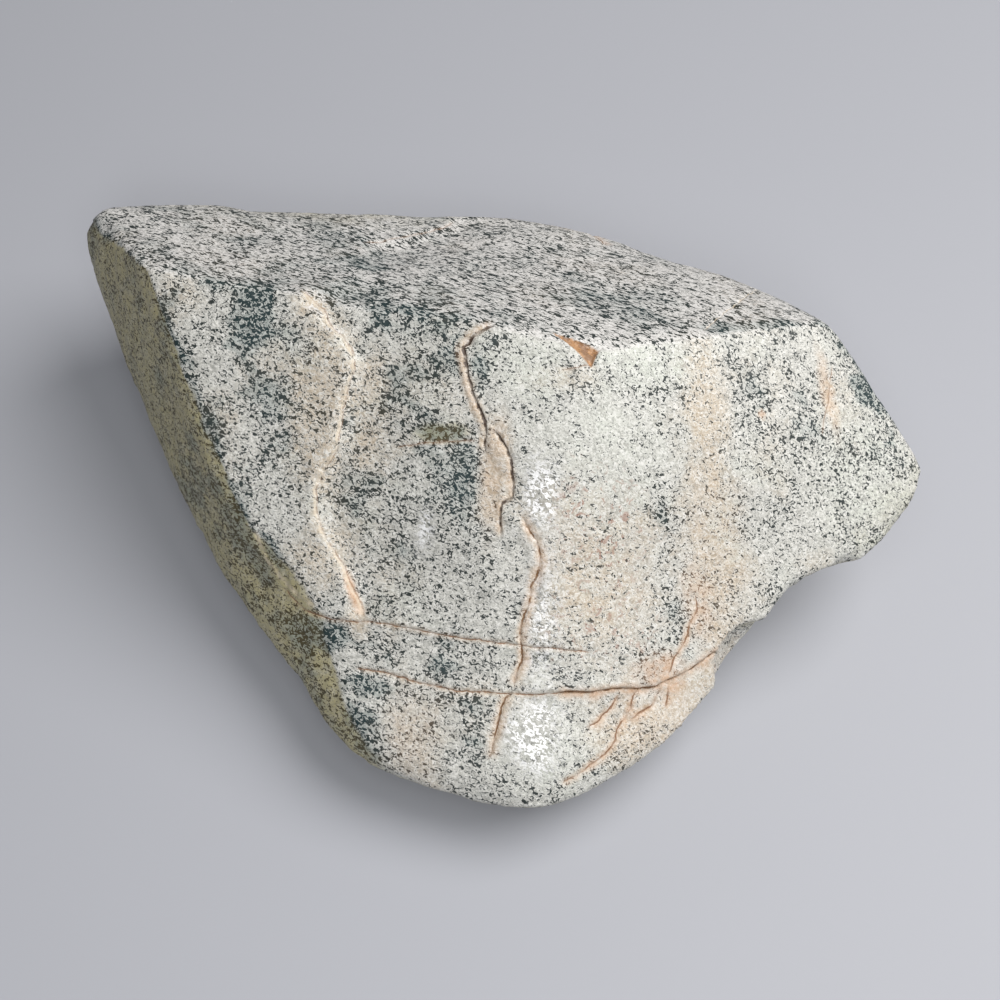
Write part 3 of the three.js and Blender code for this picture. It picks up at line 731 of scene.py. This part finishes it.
# What the noises give: between which two of their values an amount goes
# from nothing to all, or from the third number to the fourth.
CREAM_DRIFT = (0.5, 0.72, 0, 0.6)
MINT_DRIFT = (0.52, 0.7, 0, 0.4)
CREAM_UNEVEN = (0.3, 0.62, 0.55, 1.1)
MINT_UNEVEN = (0.68, 0.35, 0.5, 1.1)
LIGHT_GRAINS = (0.52, 0.64, 0, 0.7)
DULL_GRAINS = (0.49, 0.38, 0, 0.7)
CLUSTERS = (0.35, 0.68, -0.6, 0.7)
PATCHY_FILM = (0.25, 0.6, 0.7, 1)
PATCHY_RUST = (0.3, 0.6, 0.4, 1.1)
PATCHY_CHIP = (0.55, 0.4)
SPECKS = (0.58, 0.66, 0, 0.7)
SUGAR_GLINT_GRAINS = (0.49, 0.53)
POLISHED = (0.42, 0.6)
PORES = (0.3, 0.62)
CORE_BREAKS = (0.34, 0.56, 0.3, 1)

# How far the bends of a fleck's noise pull its shape in. A bend is where
# its noise goes through its middle value.
FLECK_CURL = 0.8
NOISE_MIDDLE = 0.5

# Where the pattern of the dark flecks and that of the small grey ones
# reach a fleck on plain stone, how much sooner they do where flecks are
# crowded, and how soft a fleck's edge is. The light rim round a dark
# fleck starts and is whole this far before its edge.
FLECK_EDGE = 0.503
FLECK_CROWDING = 0.07
FLECK_SOFTNESS = 0.035
SMALL_EDGE = 0.57
SMALL_CROWDING = 0.04
SMALL_SOFTNESS = 0.06
RIM_START = 0.1
RIM_WHOLE = 0.01

# How much fewer flecks there are where the stone is bare, how many more
# on the top face, how much of the clusters is left there, and between
# which amounts of flecks they turn from single to crowded.
BARE_FLECKS = 1.8
TOP_FLECKS = 0.68
TOP_CLUSTERS = 0.45
CROWDED = (0.5, 1.5)

# How much each colour hides of what lies below it: the top face's
# lighter ground, partly painted light for the brighter light on the top
# face, the olive film, the blue-green haze between crowded flecks, the
# small flecks, the light rims on clean stone and under the film, the
# dull ground between the sugary grains painted white as glints, and the
# chip's floor.
TOP_COVER = 0.85
FILM_COVER = 0.9
HAZE_COVER = 0.55
SMALL_COVER = 0.5
RIM_COVER = (0.4, 0.1)
BETWEEN_COVER = 0.45
CHIP_COVER = 0.9

# How warm flecks turn in the cream stone, how far the small flecks'
# colour is on its way to the plain stone's, and how many millimetres in
# from its rim the chip's floor is fully stained.
FLECK_WARMTH = 0.6
SMALL_PALENESS = 0.35
CHIP_RIM = 0.3

# How far from a crack's line its core starts and is whole, in shares of
# its width, and how much it strays from the line. The second core beside
# a vein, painted shade at the riser of the vein's step, starts and is
# whole this many millimetres from its middle, and hides this much.
CORE_EDGE = (0.75, 0.25)
CORE_STRAY = 0.7
RISER_SHADE_EDGE = (0.16, 0.05)
RISER_SHADE_COVER = 0.55

# The stone's roughness, how much smoother it is where it is polished or
# sugary, and how it bends the light. The height of its pores, how strong
# they look, and how high the fine pores and the cracks' cores are beside
# the pores.
ROUGHNESS = 0.68
SMOOTHER = -0.4
STONE_IOR = 1.55
PORE_DEPTH = 0.08 * MM
PORE_STRENGTH = 0.6
FINE_PORE_SHARE = 0.35
CORE_SHARE = 1.5


class Wiring:
    """Adds nodes to a material and links them as they are made."""

    # The mix node's sockets: its amount, and the two numbers or the two
    # colours that it mixes. Its results are the number and the colour.
    AMOUNT, NUMBER_A, NUMBER_B, COLOUR_A, COLOUR_B = 0, 2, 3, 6, 7
    NUMBER, COLOUR = 0, 2

    def __init__(self, tree):
        self.tree = tree

    def node(self, kind, inputs, **settings):
        made = self.tree.nodes.new(kind)
        for name, value in settings.items():
            setattr(made, name, value)
        for name, value in inputs.items():
            if isinstance(value, bpy.types.NodeSocket):
                self.tree.links.new(value, made.inputs[name])
            else:
                made.inputs[name].default_value = value
        return made

    def math(self, operation, *values, clamp=False):
        inputs = dict(enumerate(values))
        return self.node("ShaderNodeMath", inputs, operation=operation, use_clamp=clamp).outputs[0]

    def opaque(self, value):
        return value if isinstance(value, bpy.types.NodeSocket) else (*value, 1)

    def mix(self, amount, first, second):
        """Goes from one colour to another by an amount."""
        inputs = {self.AMOUNT: amount, self.COLOUR_A: self.opaque(first),
                  self.COLOUR_B: self.opaque(second)}
        return self.node("ShaderNodeMix", inputs, data_type="RGBA").outputs[self.COLOUR]

    def blend(self, amount, first, second):
        """Goes from one number to another by an amount."""
        inputs = {self.AMOUNT: amount, self.NUMBER_A: first, self.NUMBER_B: second}
        return self.node("ShaderNodeMix", inputs, data_type="FLOAT").outputs[self.NUMBER]

    def ramp(self, value, low, high, to_low=0.0, to_high=1.0):
        """Eases from one number to another as a value goes from low to high."""
        inputs = {"Value": value, "From Min": low, "From Max": high, "To Min": to_low, "To Max": to_high}
        return self.node("ShaderNodeMapRange", inputs, interpolation_type="SMOOTHSTEP").outputs[0]

    def noise(self, place, size, detail, rough, distortion):
        """Noise from 0 to 1 with bumps of a size in metres."""
        inputs = {"Vector": place, "Scale": 1 / size, "Detail": detail, "Roughness": rough,
                  "Distortion": distortion}
        return self.node("ShaderNodeTexNoise", inputs).outputs["Fac"]

    def float(self, name):
        """A number noted on the mesh."""
        return self.node("ShaderNodeAttribute", {}, attribute_name=name).outputs["Fac"]

    def vector(self, name):
        """The three parts of a vector noted on the mesh."""
        found = self.node("ShaderNodeAttribute", {}, attribute_name=name).outputs["Vector"]
        return self.node("ShaderNodeSeparateXYZ", {0: found}).outputs


def bedded_place(wire, place, along, across):
    """Places turned to the stone's bedding and stretched along and across
    it, as what is drawn on them then is."""
    inputs = {"Vector": place, "Rotation": BEDDING_TURN, "Scale": (along, across, across)}
    return wire.node("ShaderNodeMapping", inputs, vector_type="TEXTURE").outputs[0]


def ground_colour(wire, place, bedded, colours):
    """The stone between the flecks: grey, cream and pale green, with
    fine curling light and dull grains, and the top face's ground lighter,
    partly painted light for the brighter light that falls on the top face."""
    cream_drift = wire.ramp(wire.noise(place, *CREAM_DRIFT_NOISE), *CREAM_DRIFT)
    cream = wire.math("ADD", wire.float("cream"), cream_drift)
    mint_drift = wire.ramp(wire.noise(bedded, *MINT_DRIFT_NOISE), *MINT_DRIFT)
    mint = wire.math("ADD", wire.float("mint"), mint_drift)
    uneven = wire.noise(place, *UNEVEN_NOISE)
    cream = wire.math("MULTIPLY", cream, wire.ramp(uneven, *CREAM_UNEVEN), clamp=True)
    mint = wire.math("MULTIPLY", mint, wire.ramp(uneven, *MINT_UNEVEN), clamp=True)
    ground = wire.mix(cream, colours.grey, colours.cream)
    ground = wire.mix(mint, ground, colours.mint)
    # The top face's lighter ground is partly its own paler tone and partly painted light for the
    # brighter light on it.
    top = wire.math("MULTIPLY", wire.float("top"), TOP_COVER)
    ground = wire.mix(top, ground, colours.top_ground_and_light)
    grain = wire.noise(bedded, *GRAIN_NOISE)
    ground = wire.mix(wire.ramp(grain, *LIGHT_GRAINS), ground, colours.grain)
    dull_colour = wire.mix(cream, colours.dull, colours.dull_cream)
    return wire.mix(wire.ramp(grain, *DULL_GRAINS), ground, dull_colour), cream


def fleck_noise(wire, place, kind, colours):
    """One of the flecks' noises, at the size that the flecks' length gives."""
    size, *texture = kind
    return wire.noise(place, size * colours.fleck_size, *texture)


def curled(wire, place, colours):
    """Thin curling shapes as long as a fleck: high along the bends of one
    noise, broken up by a second."""
    body = fleck_noise(wire, place, FLECK_BODY_NOISE, colours)
    bends = fleck_noise(wire, place, FLECK_BEND_NOISE, colours)
    off = wire.math("ABSOLUTE", wire.math("SUBTRACT", bends, NOISE_MIDDLE))
    return wire.math("MULTIPLY_ADD", off, -FLECK_CURL, body)


def fleck_cover(wire, short, long, colours):
    """Where the dark flecks, the light rims round them and the small
    mid-grey ones are, and how crowded they are, from 0 to 1."""
    top = wire.float("top")
    clustered = wire.ramp(wire.noise(short, *CLUSTER_NOISE), *CLUSTERS)
    clustered = wire.math("MULTIPLY", clustered, wire.ramp(top, 0, 1, 1, TOP_CLUSTERS))
    density = wire.math("ADD", wire.float("flecks"), clustered)
    density = wire.math("MULTIPLY_ADD", wire.float("bare"), -BARE_FLECKS, density)
    density = wire.math("MULTIPLY_ADD", top, TOP_FLECKS, density)
    pattern = wire.blend(top, curled(wire, short, colours), curled(wire, long, colours))
    edge = wire.math("MULTIPLY_ADD", density, -FLECK_CROWDING, FLECK_EDGE)
    dark = wire.ramp(pattern, edge, wire.math("ADD", edge, FLECK_SOFTNESS))
    rim_start = wire.math("SUBTRACT", edge, RIM_START)
    rim = wire.ramp(pattern, rim_start, wire.math("SUBTRACT", edge, RIM_WHOLE))
    small = fleck_noise(wire, short, SMALL_FLECK_NOISE, colours)
    edge = wire.math("MULTIPLY_ADD", density, -SMALL_CROWDING, SMALL_EDGE)
    pale = wire.ramp(small, edge, wire.math("ADD", edge, SMALL_SOFTNESS))
    return dark, rim, pale, wire.ramp(density, *CROWDED)


def flecked(wire, place, short, long, colours):
    """The stone's colour with its olive film and its flecks, and how
    patchy the stains on it are."""
    base, cream = ground_colour(wire, place, short, colours)
    dark, rim, pale, crowd = fleck_cover(wire, short, long, colours)
    patchy = wire.noise(place, *PATCHY_NOISE)
    film = wire.math("MULTIPLY", wire.float("film"), wire.ramp(patchy, *PATCHY_FILM), clamp=True)
    film_cover = wire.math("MULTIPLY", film, FILM_COVER)
    warmth = wire.math("MULTIPLY", cream, FLECK_WARMTH, clamp=True)
    fleck = wire.mix(crowd, colours.fleck, colours.fleck_crowd)
    fleck = wire.mix(warmth, fleck, colours.fleck_warm)
    fleck = wire.mix(film_cover, fleck, colours.fleck_film)
    base = wire.mix(film_cover, base, colours.film)
    base = wire.mix(wire.math("MULTIPLY", crowd, HAZE_COVER), base, colours.teal)
    small = wire.mix(SMALL_PALENESS, fleck, colours.grey)
    base = wire.mix(wire.math("MULTIPLY", pale, SMALL_COVER), base, small)
    rim = wire.math("MULTIPLY", rim, wire.ramp(film, 0, 1, *RIM_COVER))
    base = wire.mix(rim, base, colours.grain)
    return wire.mix(dark, base, fleck), patchy


def sugar_and_glint_spots(wire, short, base, colours):
    """Draws white sugary grains over a colour in the glinting spots,
    the white partly a painted highlight for the glints, dulls the stone
    between them, and gives where the grains are."""
    gloss = wire.float("gloss")
    sugar_and_glint = wire.ramp(wire.noise(short, *SUGAR_GLINT_NOISE), *SUGAR_GLINT_GRAINS)
    sugar_and_glint = wire.math("MULTIPLY", sugar_and_glint, gloss, clamp=True)
    between = wire.math("MULTIPLY", gloss, BETWEEN_COVER, clamp=True)
    base = wire.mix(wire.blend(sugar_and_glint, between, 0), base, colours.dull)
    return wire.mix(sugar_and_glint, base, colours.sugar_and_glint), sugar_and_glint


def crack_cores(wire, place, base, colours):
    """Draws the core of every crack over a colour, and gives how sunk it is."""
    wander = wire.math("SUBTRACT", wire.noise(place, *CORE_NOISE), NOISE_MIDDLE)
    breaks = wire.ramp(wire.noise(place, *CORE_BREAK_NOISE), *CORE_BREAKS)
    outer, inner = CORE_EDGE
    sunk = 0.0
    for name, (kind_name, _, _) in CRACKS.items():
        kind = CRACK_KINDS[kind_name]
        signed, strength, _ = wire.vector(name)
        across = wire.math("MULTIPLY_ADD", wander, CORE_STRAY, signed)
        width = kind["width"]
        core = wire.ramp(across, outer * width, inner * width)
        right = wire.ramp(across, -outer * width * kind["fade"], -inner * width)
        core = wire.math("MULTIPLY", wire.math("MINIMUM", core, right), strength)
        core = wire.math("MULTIPLY", core, breaks)
        # The cream vein's core is partly painted highlight, and the dark crack's partly painted shadow.
        core_colour = getattr(colours, "core_" + kind["core"])
        base = wire.mix(wire.math("MULTIPLY", core, kind["cover"]), base, core_colour)
        # The second, brown core is painted shade along the riser of the step.
        if kind["riser_shade"]:
            off = wire.math("ABSOLUTE", wire.math("SUBTRACT", across, kind["riser_shade"]))
            riser_shade = wire.math("MULTIPLY", wire.ramp(off, *RISER_SHADE_EDGE), strength)
            riser_shade = wire.math("MULTIPLY", riser_shade, wire.math("MULTIPLY", breaks, RISER_SHADE_COVER))
            base = wire.mix(riser_shade, base, colours.core_brown)
        if kind["depth"] > 0:
            sunk = wire.math("MAXIMUM", sunk, core)
    return base, sunk


def pored(wire, place, sugar_and_glint, sunk, colours):
    """How rough the stone is between its pores, and how the pores and the
    cracks' cores turn its surface."""
    pores = wire.noise(place, *PORE_NOISE)
    polish = wire.math("MULTIPLY", wire.ramp(pores, *POLISHED), colours.gloss)
    rough = wire.math("MULTIPLY_ADD", polish, SMOOTHER, ROUGHNESS)
    rough = wire.math("MULTIPLY_ADD", sugar_and_glint, SMOOTHER, rough)
    cores = wire.math("MULTIPLY", sunk, CORE_SHARE)
    height = wire.math("SUBTRACT", wire.ramp(pores, *PORES), cores)
    fine_pores = wire.noise(place, *FINE_PORE_NOISE)
    height = wire.math("MULTIPLY_ADD", fine_pores, FINE_PORE_SHARE, height)
    relief = {"Height": height, "Strength": PORE_STRENGTH, "Distance": PORE_DEPTH}
    return rough, wire.node("ShaderNodeBump", relief).outputs[0]


def jadeite_material(colours):
    material = bpy.data.materials.new("jadeite")
    material.use_nodes = True
    wire = Wiring(material.node_tree)
    shader = material.node_tree.nodes["Principled BSDF"]
    place = wire.node("ShaderNodeTexCoord", {}).outputs["Object"]
    short = bedded_place(wire, place, *SHORT)
    long = bedded_place(wire, place, *LONG)
    base, patchy = flecked(wire, place, short, long, colours)
    specks = wire.ramp(wire.noise(place, *SPECK_NOISE), *SPECKS)
    base = wire.mix(wire.math("MULTIPLY", specks, wire.float("specks")), base, colours.speck)
    # White grains painted where the stone glints: painted highlights, partly pale grains.
    base, sugar_and_glint = sugar_and_glint_spots(wire, short, base, colours)
    rust = wire.math("MULTIPLY", wire.float("rust"), wire.ramp(patchy, *PATCHY_RUST), clamp=True)
    base = wire.mix(rust, base, colours.rust)
    chip_colour = wire.mix(wire.ramp(patchy, *PATCHY_CHIP), colours.chip_floor, colours.chip_deep)
    chip = wire.math("MULTIPLY", wire.ramp(wire.float("chip"), 0, CHIP_RIM), CHIP_COVER)
    base = wire.mix(chip, base, chip_colour)
    base, sunk = crack_cores(wire, place, base, colours)
    rough, normal = pored(wire, place, sugar_and_glint, sunk, colours)
    links = material.node_tree.links
    links.new(base, shader.inputs["Base Color"])
    links.new(rough, shader.inputs["Roughness"])
    links.new(normal, shader.inputs["Normal"])
    shader.inputs["IOR"].default_value = STONE_IOR
    return material


# --------------------------------------------------------------- stage

# The lights, in metres: where each hangs, how wide it is, which of the
# stage's powers it has and its colour. All aim at the stone's middle.
LIGHTS = {
    "key_light": ((0.4, 0.1, 0.65), 0.6, "key_power", (1, 0.98, 0.96)),
    "fill_light": ((0.0, -0.3, 0.65), 0.5, "fill_power", (1, 1, 1)),
    "glint_light_left": ((0.01, -0.45, 0.47), 0.14, "glint_power", (1, 1, 1)),
    "glint_light_right": ((0.12, -0.42, 0.54), 0.14, "glint_power", (1, 1, 1)),
}
STONE_MIDDLE = (0, 0, 25 * MM)
ROOM_COLOUR = (0.93, 0.96, 1)
FLOOR_ROUGHNESS = 0.55

# The camera is in front of the stone and above it, and looks down. Its
# turn is counted from straight down.
CAMERA_PLACE = (2 * MM, -141.83 * MM, 260.94 * MM)
CAMERA_TURN = (math.radians(30), 0, 0)
CAMERA_NEAR = 10 * MM


def area_light(name, place, size, power, light_colour):
    light = bpy.data.lights.new(name, "AREA")
    light.shape = "DISK"
    light.size = size
    light.energy = power
    light.color = light_colour
    lamp = bpy.data.objects.new(name, light)
    lamp.location = place
    aim = Vector(STONE_MIDDLE) - lamp.location
    lamp.rotation_euler = aim.to_track_quat("-Z", "Y").to_euler()
    bpy.context.scene.collection.objects.link(lamp)


def plain_floor(stage):
    half = stage.floor_size / 2
    mesh = bpy.data.meshes.new("floor")
    corners = [(-half, -half, 0), (half, -half, 0), (half, half, 0), (-half, half, 0)]
    mesh.from_pydata(corners, [], [(0, 1, 2, 3)])
    material = bpy.data.materials.new("floor")
    material.use_nodes = True
    shader = material.node_tree.nodes["Principled BSDF"]
    shader.inputs["Base Color"].default_value = (*stage.floor, 1)
    shader.inputs["Roughness"].default_value = FLOOR_ROUGHNESS
    mesh.materials.append(material)
    floor = bpy.data.objects.new("floor", mesh)
    bpy.context.scene.collection.objects.link(floor)


def room_light(stage):
    world = bpy.data.worlds.new("room")
    world.use_nodes = True
    sky = world.node_tree.nodes["Background"]
    sky.inputs["Color"].default_value = (*ROOM_COLOUR, 1)
    sky.inputs["Strength"].default_value = stage.room
    return world


def stone_camera(stage):
    camera = bpy.data.objects.new("camera", bpy.data.cameras.new("camera"))
    camera.data.lens = stage.lens
    camera.data.clip_start = CAMERA_NEAR
    camera.location = CAMERA_PLACE
    camera.rotation_euler = CAMERA_TURN
    bpy.context.scene.collection.objects.link(camera)
    return camera


# ----------------------------------------------------------- operators


class BuildJadeiteStone(bpy.types.Operator):
    """Build the stone's cracked, pitted and speckled surface over its solid"""

    bl_idname = "object.jadeite_stone"
    bl_label = "Rough Stone"

    def execute(self, context):
        scene = context.scene
        mesh = fine_mesh(scene.jadeite_surface)
        dress_mesh(mesh, scene.jadeite_surface)
        mesh.name = "rough_jadeite"
        mesh.materials.clear()
        mesh.materials.append(jadeite_material(scene.jadeite_colours))
        stone = bpy.data.objects.new("rough_jadeite", mesh)
        scene.collection.objects.link(stone)
        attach(stone, "root")
        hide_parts(STONE_NODE)
        return {"FINISHED"}


class BuildJadeiteStage(bpy.types.Operator):
    """Set up the pale floor, the soft light and the camera"""

    bl_idname = "scene.jadeite_stage"
    bl_label = "Stage"

    def execute(self, context):
        stage = context.scene.jadeite_stage
        plain_floor(stage)
        for name, (place, size, power, light_colour) in LIGHTS.items():
            area_light(name, place, size, getattr(stage, power), light_colour)
        context.scene.world = room_light(stage)
        context.scene.camera = stone_camera(stage)
        context.scene.view_settings.view_transform = "Standard"
        return {"FINISHED"}


class JadeitePanel(bpy.types.Panel):
    """Lists the stone and its stage"""

    bl_idname = "VIEW3D_PT_jadeite"
    bl_label = "Rough Jadeite"
    bl_space_type = "VIEW_3D"
    bl_region_type = "UI"
    bl_category = "Jadeite"

    def draw(self, context):
        layout = self.layout
        for operator in OPERATORS:
            layout.operator(operator.bl_idname)
        for group in SETTINGS:
            settings = getattr(context.scene, group)
            layout.label(text=settings.bl_rna.description)
            for name in settings.bl_rna.properties.keys():
                if name not in ("rna_type", "name"):
                    layout.prop(settings, name)


OPERATORS = (BuildJadeiteStone, BuildJadeiteStage)
SETTINGS = {
    "jadeite_surface": JadeiteSurface,
    "jadeite_colours": JadeiteColours,
    "jadeite_stage": JadeiteStage,
}


def register():
    for group, settings in SETTINGS.items():
        bpy.utils.register_class(settings)
        setattr(bpy.types.Scene, group, bpy.props.PointerProperty(type=settings))
    for operator in OPERATORS:
        bpy.utils.register_class(operator)
    bpy.utils.register_class(JadeitePanel)


def unregister():
    bpy.utils.unregister_class(JadeitePanel)
    for operator in reversed(OPERATORS):
        bpy.utils.unregister_class(operator)
    for group, settings in reversed(SETTINGS.items()):
        delattr(bpy.types.Scene, group)
        bpy.utils.unregister_class(settings)


def main():
    register()
    bpy.ops.object.jadeite_stone()
    bpy.ops.scene.jadeite_stage()


if __name__ == "__main__":
    main()
